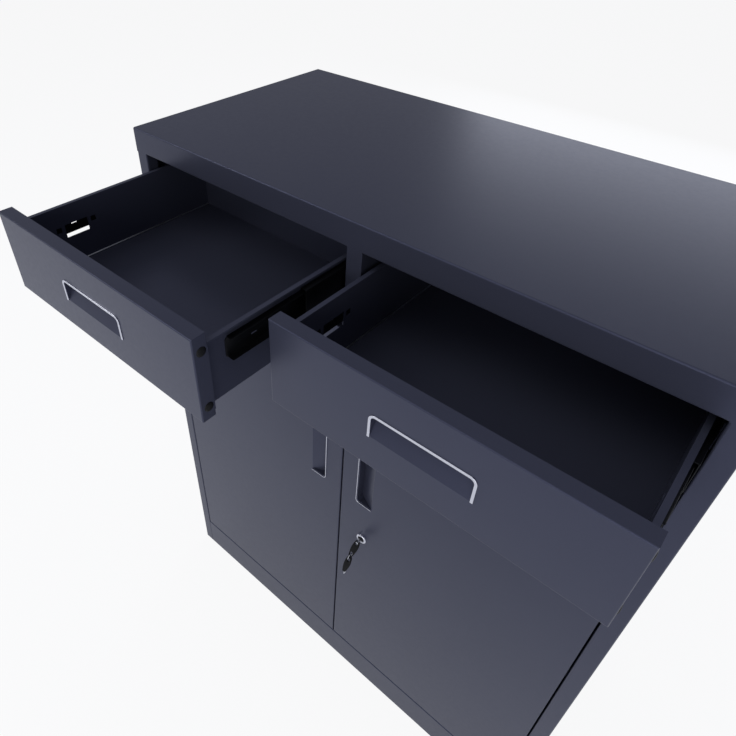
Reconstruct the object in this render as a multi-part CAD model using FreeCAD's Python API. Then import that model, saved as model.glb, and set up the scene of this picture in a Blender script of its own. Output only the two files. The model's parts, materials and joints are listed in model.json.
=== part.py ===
import FreeCAD, Part
import math
import os

# A steel storage cabinet: two drawers side by side above a two-door cupboard.
# Millimetres. X runs to the right, the front faces -Y and +Z is up.
# The origin is the middle of the footprint, on the floor.
# The drawers stand open by left_open and right_open; everything else is at rest.

# Overall size of the closed cabinet
width = 800.0
depth = 390.0
height = 1000.0

# Folded sheet steel
sheet = 0.8
bend = 1.2
pan_round = 1.4
flange = 20.0

# Sides of small round holes and plugs, which are drawn with flats
small_sides = 12

# Front frame
fascia_height = 34.0
fascia_return = 20.0
stile_width = 21.5
stile_depth = 18.0
stile_hem = 10.0
back_return = 15.0
plinth_height = 76.0
foot_flange = 15.0
seam = 0.3

# Drawer deck and the upright between the drawers
deck_drop = 5.5
deck_lip = 9.0
deck_corner = 62.0
deck_setback = 8.7
stop_height = 22.0
stop_thickness = 2.0
door_stop_gap = 0.3
partition_width = 21.6
partition_flange = 8.0

# Drawers
left_open = 218.0
right_open = 148.0
drawer_gap = 3.5
drawer_front_height = 109.0
drawer_front_depth = 17.2
drawer_box_length = 290.0
wall_rise = 7.5
wall_drop = 17.1
wall_lip = 4.8
wall_hem = 2.4
wall_foot = 9.0
tray_front_drop = 4.5
window_start = 70.0
window_length = 33.0
window_drop = 1.0
window_height = 18.5
hook_hole = 7.5
hook_pitch = 50.0
hook_drop = 6.0
plug_setback = 10.0
plug_rise = 16.5
plug_drop = 19.5
plug_head = 5.8
plug_stem = 2.8
plug_hole = 3.0
plug_proud = 0.8
plug_length = 4.0

# Three-part ball slides, each the standard half inch thick
slide_thickness = 12.7
slide_height = 45.5
slide_length = 250.0
slide_setback = 45.0
slide_drop = 25.4
rail_sheet = 1.2
ball_radius = 1.4
ball_play = 0.1
outer_flange = 9.0
outer_lip = 3.4
middle_start = 2.4
middle_end = 10.5
middle_lip = 3.35
inner_start = 5.0
inner_nose = 4.0
release_slot = (8.0, 2.4)
release_setback = 80.0
release_drop = 3.0
cage_sheet = 0.6
cage_length = 110.0
cage_flange = 4.8
cage_clear = 0.3
cage_gap_to_middle = 0.4
ball_count = 3
ball_reach = 3.0

# Channels on the side panels that carry the outer slides
bracket_crown = 32.0
bracket_flange = 14.0
bracket_overhang = 10.0

# Finger recesses with their bright trim, alike on drawers and doors
grip_length = 105.0
grip_height = 27.0
grip_depth = 13.0
grip_corner = 5.0
trim_width = 2.5
trim_proud = 1.2
drawer_grip_rise = 40.5
door_grip_inner = 32.0
door_grip_drop = 255.5

# Doors
door_depth = 18.0
door_top_gap = 3.5
door_floor_gap = 2.5
hinge_gap = 2.0
centre_gap = 2.5
door_lip = 15.0
pivot_inset = 14.0
pivot_setback = 7.0
pivot_radius = 3.0
pivot_clearance = 0.05
pivot_reach = 14.0
pivot_head = 4.5
pivot_head_height = 2.0
bush_square = 8.0
bush_clearance = 0.05
bush_flange_radius = 6.5
bush_length = 10.0
bush_floor_clearance = 0.2
top_bush_flange = 0.6
pivot_plate = 1.5
pivot_plate_gap = 0.9
pivot_plate_reach = 24.0
pivot_plate_setback = 2.0
pivot_plate_depth = 15.0
stiffener_width = 60.0
stiffener_crown = 36.0
stiffener_depth = 12.0
stiffener_inset = 22.0

# Bolt that holds the left door, with its guide
bolt_edge = 8.0
bolt_square = 8.0
bolt_chamfer = 1.0
bolt_length = 90.0
bolt_drop = 4.0
bolt_clearance = 0.08
bolt_knob_radius = 3.5
bolt_knob_length = 9.0
guide_width = 13.0
guide_depth = 11.0
guide_block = 12.0
guide_plate = 1.5
guide_top_drop = 8.0
guide_length = 60.0

# Cam lock on the right door
lock_x = 48.5
lock_drop = 391.0
lock_sides = 24
lock_head_radius = 9.2
lock_head_proud = 5.0
lock_head_bevel = 1.2
lock_body_radius = 8.0
lock_body_length = 20.0
lock_hole_clearance = 0.1
lock_nut_across = 21.0
lock_nut_thickness = 4.0
lock_plug_radius = 5.5
lock_plug_clearance = 0.05
lock_plug_proud = 0.5
lock_tail_square = 6.0
lock_tail_clearance = 0.05
cam_width = 16.0
cam_reach = 60.0
cam_corner = 4.0
cam_sheet = 2.0
cam_clearance = 0.3
cam_screw_across = 8.0
cam_screw_height = 2.5

# Keys: the bow folds at the neck, and the spare hangs from a ring
key_slot = (9.0, 2.4)
key_blade = (8.6, 2.0)
key_depth = 14.0
key_neck = 4.0
key_shoulder = 2.0
key_pivot_out = 8.0
key_eye_radius = 2.0
key_pin_radius = 1.0
key_pin_clearance = 0.05
bow_length = 27.5
bow_widths = (8.4, 12.0, 13.4, 12.6, 10.0, 5.6)
bow_thickness = 4.0
bow_slot = 4.6
bow_slot_depth = 7.0
bow_heel = 3.0
bow_pin_wall = 1.4
bow_droop = 45.0
bow_hole_radius = 3.4
bow_hole_inset = 5.0
ring_radius = 5.5
ring_wire = 0.6
ring_sides = 20
spare_tilt = 30.0
spare_blade = (5.0, 2.0)
spare_blade_cover = 18.0
spare_blade_tip = 6.0

# Shelf in the cupboard and its clips
shelf_top = 450.0
shelf_depth = 25.0
shelf_front = 35.0
shelf_side_gap = 1.0
shelf_clip_setback = 55.0
clip_width = 18.0
clip_height = 22.0
clip_ledge = 12.0
clip_sheet = 1.2

# Worked out from the sizes above
half = width / 2
front = -depth / 2
rear = depth / 2
inside = half - sheet
back_face = rear - 2 * sheet
fascia_bottom = height - fascia_height
opening = half - stile_width
upright = partition_width / 2
drawer_inner = upright + drawer_gap
drawer_outer = opening - drawer_gap
drawer_top = fascia_bottom - drawer_gap
drawer_bottom = drawer_top - drawer_front_height
deck_top = drawer_bottom - deck_drop
wall_bottom = drawer_bottom + wall_rise
wall_top = drawer_top - wall_drop
plug_heights = (drawer_bottom + plug_rise, drawer_top - plug_drop)
slide_centre = wall_top - slide_drop
drawer_grip_bottom = drawer_bottom + drawer_grip_rise
wall_inner = upright + slide_thickness
wall_outer = opening - slide_thickness
box_front = front + drawer_front_depth
box_rear = box_front + drawer_box_length
rail_front = front + slide_setback
rail_rear = rail_front + slide_length
stop_front = front + door_depth + door_stop_gap
deck_front = stop_front + stop_thickness
stop_bottom = deck_top - stop_height
door_bottom = plinth_height + door_floor_gap
door_top = drawer_bottom - door_top_gap
door_grip_centre = door_top - door_grip_drop
lock_z = door_top - lock_drop
door_inner = centre_gap / 2
door_outer = opening - hinge_gap
door_back = front + door_depth
pivot_x = door_outer - pivot_inset
pivot_y = front + pivot_setback
race = 2 * (ball_radius + ball_play)
outer_half = slide_height / 2
middle_half = outer_half - rail_sheet - race
inner_half = middle_half - rail_sheet - race


def box(x0, x1, y0, y1, z0, z1):
    """A plain block between two corners."""
    return Part.makeBox(x1 - x0, y1 - y0, z1 - z0, FreeCAD.Vector(x0, y0, z0))


def square_post(x, y, side, z0, z1):
    """An upright square bar about a point of the plan."""
    reach = side / 2
    return box(x - reach, x + reach, y - reach, y + reach, z0, z1)


def cylinder(radius, base, axis, length):
    """A round bar from a base point along an axis."""
    return Part.makeCylinder(radius, length, FreeCAD.Vector(*base), FreeCAD.Vector(*axis))


def fuse(shapes):
    """One solid from pieces that share faces or overlap."""
    return shapes[0].multiFuse(shapes[1:]).removeSplitter()


def mirrored(shape):
    """The same piece on the other side of the cabinet."""
    return shape.mirror(FreeCAD.Vector(0, 0, 0), FreeCAD.Vector(1, 0, 0))


def moved(shape, x=0.0, y=0.0, z=0.0):
    """A copy of a piece, shifted."""
    return shape.translated(FreeCAD.Vector(x, y, z))


def turned(shape, axis, angle):
    """A copy of a piece, turned about an axis through the origin."""
    copy = shape.copy()
    copy.rotate(FreeCAD.Vector(0, 0, 0), FreeCAD.Vector(*axis), angle)
    return copy


def place(a, b, axis, level):
    """A point of a flat drawing, set in space at a level along the axis square to it."""
    if axis == "x":
        return FreeCAD.Vector(level, a, b)
    if axis == "y":
        return FreeCAD.Vector(a, level, b)
    return FreeCAD.Vector(a, b, level)


def extrude(edges, axis, start, end):
    """A solid from a closed drawing, drawn out along an axis."""
    face = Part.Face(Part.Wire(edges))
    return face.extrude(place(0, 0, axis, end) - place(0, 0, axis, start))


def prism(points, axis, start, end):
    """A straight-sided solid from its corner points."""
    corners = [place(a, b, axis, start) for a, b in points]
    edges = [Part.makeLine(p, q) for p, q in zip(corners, corners[1:] + corners[:1])]
    return extrude(edges, axis, start, end)


def polygon(sides, flat):
    """Corners of a regular outline round the middle, by the distance from there to its sides."""
    corner = flat / math.cos(math.pi / sides)
    angles = [math.pi * (2 * n + 1) / sides for n in range(sides)]
    return [(corner * math.cos(a), corner * math.sin(a)) for a in angles]


def folded(points, axis, start, end, thickness=sheet, radius=bend):
    """A sheet bent along a path: the points run along one side of it and the sheet lies on their left.

    A radius of zero leaves the bends sharp.
    """
    path = [FreeCAD.Vector(a, b, 0) for a, b in points]
    along = [(q - p).normalize() for p, q in zip(path, path[1:])]
    left = [FreeCAD.Vector(-d.y, d.x, 0) for d in along]
    sides = ([path[0]], [path[0] + left[0] * thickness])
    for corner, d0, d1, n0, n1 in zip(path[1:], along, along[1:], left, left[1:]):
        if radius == 0:
            sides[0].append(corner)
            sides[1].append(corner + (n0 + n1) * (thickness / (1 + n0.dot(n1))))
            continue
        side = 1 if d0.cross(d1).z > 0 else -1
        near = radius + (thickness if side > 0 else 0)
        reach = near * math.tan(d0.getAngle(d1) / 2)
        first = corner - d0 * reach
        last = corner + d1 * reach
        centre = first + n0 * (side * near)
        outward = (corner - centre).normalize()
        sides[0].append((first, centre + outward * near, last))
        far = near - side * thickness
        sides[1].append((first + n0 * thickness, centre + outward * far, last + n1 * thickness))
    sides[0].append(path[-1])
    sides[1].append(path[-1] + left[-1] * thickness)

    def run(stops, flip):
        if flip:
            stops = [tuple(reversed(s)) if isinstance(s, tuple) else s for s in reversed(stops)]
        edges = []
        last = None
        for stop in stops:
            arc = [place(p.x, p.y, axis, start) for p in (stop if isinstance(stop, tuple) else (stop,))]
            if last is not None:
                edges.append(Part.makeLine(last, arc[0]))
            if len(arc) == 3:
                edges.append(Part.Arc(*arc).toShape())
            last = arc[-1]
        return edges, last

    near_edges, near_end = run(sides[0], False)
    far_edges, far_end = run(sides[1], True)
    far_begin = far_edges[0].Vertexes[0].Point
    near_begin = near_edges[0].Vertexes[0].Point
    turn = Part.makeLine(near_end, far_begin)
    close = Part.makeLine(far_end, near_begin)
    return extrude(near_edges + [turn] + far_edges + [close], axis, start, end)


def rounded_front(block, radius):
    """A block whose front edges are bent round, with mitres at the corners as on folded sheet."""
    face_y = block.BoundBox.YMin
    edges = [e for e in block.Edges if all(abs(v.Y - face_y) < 1e-6 for v in e.Vertexes)]
    level = [e for e in edges if e.BoundBox.ZLength < 1e-6]
    upright_edges = [e for e in edges if e.BoundBox.XLength < 1e-6]
    return block.makeFillet(radius, level).common(block.makeFillet(radius, upright_edges))


def pan(x0, x1, z0, z1, pan_depth, lip):
    """A folded front with returns all round, and a lip at the back where one is asked for."""
    outer = rounded_front(box(x0, x1, front, front + pan_depth, z0, z1), pan_round)
    inside_end = front + pan_depth - sheet if lip else front + pan_depth + sheet
    hollow = box(x0 + sheet, x1 - sheet, front + sheet, inside_end, z0 + sheet, z1 - sheet)
    shell = outer.cut(hollow)
    if lip:
        back = front + pan_depth
        shell = shell.cut(box(x0 + lip, x1 - lip, back - 2 * sheet, back + sheet, z0 + lip, z1 - lip))
    return shell


def grip_outline(grow, base):
    """The recess seen from the front: square at its flush side, rounded at its deep side."""
    reach = grip_length / 2 + grow
    top = grip_height + grow
    corner = grip_corner + grow
    swing = corner * math.sqrt(0.5)

    def at(a, b):
        return place(a, b, "y", 0)

    return [
        Part.makeLine(at(-reach, base), at(reach, base)),
        Part.makeLine(at(reach, base), at(reach, top - corner)),
        Part.Arc(
            at(reach, top - corner),
            at(reach - corner + swing, top - corner + swing),
            at(reach - corner, top),
        ).toShape(),
        Part.makeLine(at(reach - corner, top), at(-reach + corner, top)),
        Part.Arc(
            at(-reach + corner, top),
            at(-reach + corner - swing, top - corner + swing),
            at(-reach, top - corner),
        ).toShape(),
        Part.makeLine(at(-reach, top - corner), at(-reach, base)),
    ]


def grip_scoop(grow):
    """The finger recess as a solid: a wedge, flush at the bottom and deepest at the top, grown by a wall."""
    slope = math.atan2(grip_depth, grip_height)
    base = -grow / math.sin(slope)
    top = grip_height + grow
    reach = grip_length / 2 + grow
    deep = (top - base) * math.tan(slope)
    wedge = prism([(0, base), (deep, top), (0, top)], "x", -reach, reach)
    return wedge.common(extrude(grip_outline(grow, base), "y", 0, deep))


def grip_trim():
    """The bright strip round the long deep side and the two short sides of a recess."""
    outer = extrude(grip_outline(trim_width, 0), "y", 0, trim_proud)
    strip = outer.cut(extrude(grip_outline(0, -1), "y", 0, trim_proud))
    return moved(strip, y=-trim_proud)


def on_drawer(shape):
    """A recess piece set on the right drawer's front."""
    return moved(shape, x=(drawer_inner + drawer_outer) / 2, y=front, z=drawer_grip_bottom)


def on_door(shape):
    """A recess piece set on the right door, its deep side towards the middle of the cabinet."""
    upright_shape = turned(shape, (0, 1, 0), -90)
    return moved(upright_shape, x=door_grip_inner + grip_height, y=front, z=door_grip_centre)


def with_grip(skin, set_on):
    """A front with the recess pressed into it."""
    return skin.fuse(set_on(grip_scoop(sheet))).cut(set_on(grip_scoop(0))).removeSplitter()


# Carcass
def side_panel():
    """Right side: wall, front stile folded back on itself, and a return for the back panel."""
    outline = [
        (opening + stile_hem, front + stile_depth),
        (opening, front + stile_depth),
        (opening, front),
        (half, front),
        (half, rear),
        (half - back_return, rear),
    ]
    upper = [(half, front + sheet), (half, rear), (half - back_return, rear)]
    lower_part = folded(outline, "z", 0, fascia_bottom)
    upper_part = folded(upper, "z", fascia_bottom, height - sheet)
    return fuse([lower_part, upper_part])


def top_panel():
    """Top with its front fascia, the fascia's return, and flanges inside the sides and across the back."""
    outline = [
        (rear, height - flange),
        (rear, height),
        (front, height),
        (front, fascia_bottom),
        (front + fascia_return, fascia_bottom),
    ]
    cap = folded(outline, "x", -half, half)
    for side in (-1, 1):
        x0, x1 = sorted((side * inside, side * (half + 1)))
        cap = cap.cut(box(x0, x1, front + sheet, rear + 1, fascia_bottom - 1, height - sheet))
        x0, x1 = sorted((side * (half - back_return - seam), side * (half + 1)))
        cap = cap.cut(box(x0, x1, back_face, rear + 1, fascia_bottom - 1, height - sheet))
    flanges = []
    for side in (-1, 1):
        x0, x1 = sorted((side * (inside - sheet), side * inside))
        flanges.append(box(x0, x1, front + fascia_return, back_face - sheet, height - flange, height - sheet))
    return fuse([cap] + flanges)


def back_panel():
    """Flat sheet against the returns of the sides, clear of their bends."""
    reach = inside - bend
    return box(-reach, reach, back_face, rear - sheet, 0, height - sheet - bend)


def base_outline(inset):
    """Plan of the base: narrow between the stiles, full width behind them, clear of the sides' rear bends."""
    narrow = opening - seam - inset
    wide = inside - inset
    step = front + stile_depth + seam + inset
    near = front + inset
    far = back_face - inset
    right = [(narrow, near), (narrow, step), (wide, step), (wide, far - bend), (wide - bend, far)]
    return right + [(-x, y) for x, y in reversed(right)]


def base_panel():
    """Cupboard floor and plinth as one box, open below inside a foot flange."""
    block = prism(base_outline(0), "z", 0, plinth_height)
    brow = [
        e for e in block.Edges
        if all(abs(v.Y - front) < 1e-6 and abs(v.Z - plinth_height) < 1e-6 for v in e.Vertexes)
    ]
    block = block.makeFillet(bend + sheet, brow)
    hollow = prism(base_outline(sheet), "z", sheet, plinth_height - sheet)
    window = prism(base_outline(foot_flange), "z", -1, 2 * sheet)
    shell = block.cut(hollow).cut(window)
    for side in (-1, 1):
        outline = polygon(small_sides, pivot_radius + pivot_clearance)
        hole = prism(outline, "z", plinth_height - 2 * sheet, plinth_height + sheet)
        shell = shell.cut(moved(hole, x=side * pivot_x, y=pivot_y))
    return shell


def drawer_deck():
    """Panel under the drawers, with a front lip that carries the door stop."""
    outline = [
        (back_face, deck_top - flange),
        (back_face, deck_top),
        (deck_front, deck_top),
        (deck_front, deck_top - deck_lip),
    ]
    deck = folded(outline, "x", -inside, inside, radius=0)
    for side in (-1, 1):
        x0, x1 = sorted((side * (half - deck_corner), side * (half + 1)))
        under = deck_top - deck_lip - flange
        deck = deck.cut(box(x0, x1, deck_front - 1, deck_front + deck_setback, under, deck_top + 1))
        x0, x1 = sorted((side * (inside - bend), side * half))
        deck = deck.cut(box(x0, x1, back_face - bend, rear, under, deck_top + 1))
    flanges = []
    for side in (-1, 1):
        x0, x1 = sorted((side * (inside - sheet), side * inside))
        flanges.append(box(x0, x1, deck_front + deck_setback, back_face - bend, deck_top - flange, deck_top))
    return fuse([deck] + flanges)


def door_stop():
    """Flat bar on the deck's lip: the doors close against it and the bolt catches behind it."""
    reach = half - deck_corner
    return box(-reach, reach, stop_front, deck_front, stop_bottom, deck_top)


def centre_partition():
    """Upright channel between the drawers: its web is the centre stile, its walls carry the slides."""
    outline = [
        (-upright + partition_flange, back_face),
        (-upright, back_face),
        (-upright, front),
        (upright, front),
        (upright, back_face),
        (upright - partition_flange, back_face),
    ]
    channel = folded(outline, "z", deck_top, height - sheet, radius=0)
    above = box(-half, half, front - 1, front + fascia_return + seam, fascia_bottom, height)
    below = box(-half, half, front - 1, deck_front, deck_top - 1, drawer_bottom)
    rear_corner = box(-half, half, back_face - bend, rear, height - sheet - bend, height)
    return channel.cut(above).cut(below).cut(rear_corner)


def slide_bracket():
    """Hat channel on the right side panel that brings the outer slide out to the edge of the opening."""
    crown = bracket_crown / 2
    outline = [
        (inside, slide_centre - crown - bracket_flange),
        (inside, slide_centre - crown),
        (opening + sheet, slide_centre - crown),
        (opening + sheet, slide_centre + crown),
        (inside, slide_centre + crown),
        (inside, slide_centre + crown + bracket_flange),
    ]
    return folded(outline, "y", rail_front - bracket_overhang, rail_rear + bracket_overhang, radius=0)


def shelf():
    """Adjustable shelf: a tray turned upside down, with flanges on all four sides."""
    side = inside - shelf_side_gap
    near = front + shelf_front
    far = back_face - shelf_side_gap
    under = shelf_top - shelf_depth
    block = box(-side, side, near, far, under, shelf_top)
    edges = [e for e in block.Edges if all(abs(v.Z - shelf_top) < 1e-6 for v in e.Vertexes)]
    hollow = box(-side + sheet, side - sheet, near + sheet, far - sheet, under - 1, shelf_top - sheet)
    return block.makeFillet(bend + sheet, edges).cut(hollow)


def shelf_clips():
    """Four bent clips on the side walls, under the shelf's side flanges."""
    ledge_top = shelf_top - shelf_depth
    outline = [
        (inside, ledge_top - clip_height),
        (inside, ledge_top),
        (inside - clip_ledge, ledge_top),
    ]
    clips = []
    for y in (front + shelf_front + shelf_clip_setback, back_face - shelf_clip_setback):
        clip = folded(outline, "y", y - clip_width / 2, y + clip_width / 2, clip_sheet, 0)
        clips += [clip, mirrored(clip)]
    return clips


def door_pivots():
    """Fixed halves of the door pivots: a plate with a pin above each door and a headed pin below it."""
    plate_bottom = door_top + pivot_plate_gap
    plate = box(
        opening - pivot_plate_reach,
        opening,
        front + pivot_plate_setback,
        front + pivot_plate_setback + pivot_plate_depth,
        plate_bottom,
        plate_bottom + pivot_plate,
    )
    top_pin = cylinder(pivot_radius, (pivot_x, pivot_y, plate_bottom), (0, 0, -1), pivot_reach)
    upper = fuse([plate, top_pin])
    under = plinth_height - sheet
    head = prism(polygon(6, pivot_head), "z", under - pivot_head_height, under)
    bottom_pin = cylinder(pivot_radius, (pivot_x, pivot_y, under), (0, 0, 1), pivot_reach)
    lower = fuse([moved(head, x=pivot_x, y=pivot_y), bottom_pin])
    return [upper, mirrored(upper), lower, mirrored(lower)]


# Slides: u runs from the cabinet wall towards the drawer, v is the height above the slide's middle
def slide_section(points, thickness, start, end, wall, sense):
    """A rolled slide member between two depths, drawn in u and v and set against a wall."""
    shape = folded(points, "y", start, end, thickness, 0)
    if sense < 0:
        shape = mirrored(shape)
    return moved(shape, x=wall, z=slide_centre)


def outer_rail(wall, sense):
    """Cabinet member: an open channel whose lips keep the balls in."""
    path = [
        (outer_flange, outer_half - outer_lip),
        (outer_flange, outer_half),
        (0, outer_half),
        (0, -outer_half),
        (outer_flange, -outer_half),
        (outer_flange, -outer_half + outer_lip),
    ]
    return slide_section(path, rail_sheet, rail_front, rail_rear, wall, sense)


def middle_rail(wall, sense):
    """Member between the two: it runs in the outer one and carries the inner one."""
    path = [
        (middle_end, middle_half - middle_lip),
        (middle_end, middle_half),
        (middle_start, middle_half),
        (middle_start, -middle_half),
        (middle_end, -middle_half),
        (middle_end, -middle_half + middle_lip),
    ]
    return slide_section(path, rail_sheet, rail_front, rail_rear, wall, sense)


def inner_rail(wall, sense):
    """Drawer member: a channel on the drawer wall, with a tapered nose and the release slot."""
    path = [
        (inner_start, -inner_half),
        (slide_thickness, -inner_half),
        (slide_thickness, inner_half),
        (inner_start, inner_half),
    ]
    rail = slide_section(path, rail_sheet, rail_front, rail_rear, wall, sense)
    x0, x1 = sorted((wall, wall + sense * (slide_thickness + 1)))
    for way in (-1, 1):
        tip = slide_centre + way * inner_half
        nose = [(rail_front, tip), (rail_front + inner_nose, tip), (rail_front, tip - way * inner_nose)]
        rail = rail.cut(prism(nose, "x", x0, x1))
    slot_y = front + release_setback
    slot_z = slide_centre - release_drop
    slot_length, slot_height = release_slot
    slot = box(x0, x1, slot_y, slot_y + slot_length, slot_z, slot_z + slot_height)
    return rail.cut(slot)


def ball():
    """A bearing ball, drawn with flats where two eight-sided bars cross."""
    outline = polygon(8, ball_radius)
    crossing = [prism(outline, axis, -ball_radius, ball_radius) for axis in ("x", "y")]
    return crossing[0].common(crossing[1])


def ball_cage(wall, sense, web, row_height):
    """Thin channel that spaces two rows of balls, followed by the balls."""
    edge = row_height + cage_sheet / 2
    path = [
        (web + cage_flange, edge),
        (web, edge),
        (web, -edge),
        (web + cage_flange, -edge),
    ]
    start = (rail_front + rail_rear - cage_length) / 2
    cage = slide_section(path, cage_sheet, start, start + cage_length, wall, sense)
    row_x = wall + sense * (web + ball_reach)
    pitch = cage_length / ball_count
    pocket = race / 2
    window = box(-pocket, pocket, -pocket, pocket, -pocket, pocket)
    balls = []
    for way in (-1, 1):
        for number in range(ball_count):
            centre = (row_x, start + pitch * (number + 0.5), slide_centre + way * row_height)
            cage = cage.cut(moved(window, *centre))
            balls.append(moved(ball(), *centre))
    return [cage] + balls


def outer_cage(wall, sense):
    """Balls between the cabinet member and the middle member."""
    return ball_cage(wall, sense, rail_sheet + cage_clear, outer_half - rail_sheet - race / 2)


def inner_cage(wall, sense):
    """Balls between the middle member and the drawer member."""
    web = middle_start + rail_sheet + cage_gap_to_middle
    return ball_cage(wall, sense, web, middle_half - rail_sheet - race / 2)


# Drawer, drawn closed and on the right
def drawer_front():
    """Front pan with the finger recess and the plug holes in its side returns."""
    skin = pan(drawer_inner, drawer_outer, drawer_bottom, drawer_top, drawer_front_depth, 0)
    skin = with_grip(skin, on_drawer)
    for z in plug_heights:
        hole = prism(polygon(small_sides, plug_hole), "x", drawer_inner - 1, drawer_outer + 1)
        skin = skin.cut(moved(hole, y=front + plug_setback, z=z))
    return skin


def drawer_plugs():
    """Four black hole plugs in the side returns of the front."""
    plugs = []
    for x, sense in ((drawer_inner, 1), (drawer_outer, -1)):
        for z in plug_heights:
            head = prism(polygon(small_sides, plug_head), "x", x - sense * plug_proud, x)
            stem = prism(polygon(small_sides, plug_stem), "x", x, x + sense * plug_length)
            plugs.append(moved(fuse([head, stem]), y=front + plug_setback, z=z))
    return plugs


def drawer_tray():
    """Floor with its front and back turned up, in one sheet between the walls."""
    floor = wall_bottom + sheet
    outline = [
        (box_front, drawer_top - tray_front_drop),
        (box_front, floor),
        (box_rear, floor),
        (box_rear, wall_top - sheet),
    ]
    return folded(outline, "x", wall_inner + sheet, wall_outer - sheet, radius=0)


def drawer_wall(x, sense):
    """Side wall with a hemmed lip, a foot under the tray, a front flange and the slide's cut-outs."""
    outline = [
        (sheet - wall_lip, wall_top - wall_hem),
        (sheet - wall_lip, wall_top - sheet),
        (0, wall_top - sheet),
        (0, wall_bottom),
        (wall_foot, wall_bottom),
    ]
    wall = folded(outline, "y", box_front, box_rear, radius=0)
    flange_edge = drawer_gap - slide_thickness
    front_flange = box(flange_edge, sheet, box_front, box_front + sheet, wall_bottom, wall_top - sheet)
    wall = fuse([wall, front_flange])
    start = front + window_start
    middle = start + window_length / 2
    window_top = slide_centre - window_drop
    cuts = [box(-1, 2 * sheet, start, start + window_length, window_top - window_height, window_top)]
    for way in (-1, 1):
        y = middle + way * hook_pitch / 2 - hook_hole / 2
        z = slide_centre - hook_drop - hook_hole / 2
        cuts.append(box(-1, 2 * sheet, y, y + hook_hole, z, z + hook_hole))
    for cut in cuts:
        wall = wall.cut(cut)
    if sense < 0:
        wall = mirrored(wall)
    return moved(wall, x=x)


# Doors, drawn closed and on the right
def door_skin():
    """Folded door with a lip round its back, the finger recess and the holes for its pivot bushes."""
    skin = pan(door_inner, door_outer, door_bottom, door_top, door_depth, door_lip)
    skin = with_grip(skin, on_door)
    return skin.cut(square_post(pivot_x, pivot_y, bush_square + 2 * bush_clearance, 0, height))


def door_stiffener():
    """Upright hat channel on the inside of the door."""
    middle = (door_inner + door_outer) / 2
    skin_face = front + sheet
    outline = [
        (middle - stiffener_width / 2, skin_face),
        (middle - stiffener_crown / 2, skin_face),
        (middle - stiffener_crown / 2, skin_face + stiffener_depth),
        (middle + stiffener_crown / 2, skin_face + stiffener_depth),
        (middle + stiffener_crown / 2, skin_face),
        (middle + stiffener_width / 2, skin_face),
    ]
    return folded(outline, "z", door_bottom + stiffener_inset, door_top - stiffener_inset, radius=0)


def flanged_bush(face, way, flange_height):
    """Plastic bush in the edge of a door: its square shank goes in along the way given, below its flange."""
    shank = square_post(pivot_x, pivot_y, bush_square, *sorted((face, face + way * bush_length)))
    rim = cylinder(bush_flange_radius, (pivot_x, pivot_y, face), (0, 0, -way), flange_height)
    bore_start = (pivot_x, pivot_y, face - way * flange_height)
    bore = cylinder(pivot_radius + pivot_clearance, bore_start, (0, 0, way), bush_length + flange_height)
    return fuse([shank, rim]).cut(bore)


def door_bushes():
    """The two pivot bushes of a door."""
    upper = flanged_bush(door_top, -1, top_bush_flange)
    lower = flanged_bush(door_bottom, 1, door_floor_gap - bush_floor_clearance)
    return [upper, lower]


# Bolt of the left door, drawn on the right
bolt_x = door_inner + bolt_edge
bolt_y = door_back + guide_plate + guide_depth / 2
bolt_top = stop_bottom - bolt_drop
guide_top = bolt_top - guide_top_drop
guide_bottom = guide_top - guide_length


def bolt_guide():
    """Plate on the door's back lip with two eyes that the bolt slides in."""
    x0 = bolt_x - guide_width / 2
    x1 = bolt_x + guide_width / 2
    eye_back = door_back + guide_plate + guide_depth
    plate = box(x0, x1, door_back, door_back + guide_plate, guide_bottom, guide_top)
    eyes = [
        box(x0, x1, door_back, eye_back, guide_bottom, guide_bottom + guide_block),
        box(x0, x1, door_back, eye_back, guide_top - guide_block, guide_top),
    ]
    bore = square_post(bolt_x, bolt_y, bolt_square + 2 * bolt_clearance, guide_bottom, guide_top)
    return fuse([plate] + eyes).cut(bore)


def door_bolt():
    """Square bolt with a knob between the eyes of its guide."""
    rod = square_post(bolt_x, bolt_y, bolt_square, bolt_top - bolt_length, bolt_top)
    tip = [e for e in rod.Edges if all(abs(v.Z - bolt_top) < 1e-6 for v in e.Vertexes)]
    rod = rod.makeChamfer(bolt_chamfer, tip)
    knob_z = guide_bottom + guide_block + 2 * bolt_knob_radius
    reach = bolt_square / 2 + bolt_knob_length
    knob = cylinder(bolt_knob_radius, (bolt_x, bolt_y, knob_z), (0, 1, 0), reach)
    return fuse([rod, knob])


# Cam lock
head_face = front - lock_head_proud
plug_face = head_face - lock_plug_proud
body_end = front + lock_body_length
plug_end = body_end + cam_clearance
cam_end = plug_end + cam_sheet
lock_axis = (0, 1, 0)


def lock_bar(sides, flat, start, end):
    """A bar with flats on the lock's axis, by the distance from there to its sides."""
    return moved(prism(polygon(sides, flat), "y", start, end), x=lock_x, z=lock_z)


def lock_hole():
    """The hole that the lock's body goes through."""
    return lock_bar(lock_sides, lock_body_radius + lock_hole_clearance, front, body_end)


def lock_barrel():
    """Chromed housing: a round head on the door, a body through it and a bore for the plug."""
    head = cylinder(lock_head_radius, (lock_x, head_face, lock_z), lock_axis, lock_head_proud)
    rim = [e for e in head.Edges if abs(e.CenterOfMass.y - head_face) < 1e-6]
    body = lock_bar(lock_sides, lock_body_radius, front, body_end)
    bore = lock_bar(lock_sides, lock_plug_radius + lock_plug_clearance, head_face, body_end)
    return fuse([head.makeChamfer(lock_head_bevel, rim), body]).cut(bore)


def lock_nut():
    """Hexagon nut that clamps the barrel to the door skin."""
    nut = lock_bar(6, lock_nut_across / 2, front + sheet, front + sheet + lock_nut_thickness)
    return nut.cut(lock_hole())


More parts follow.
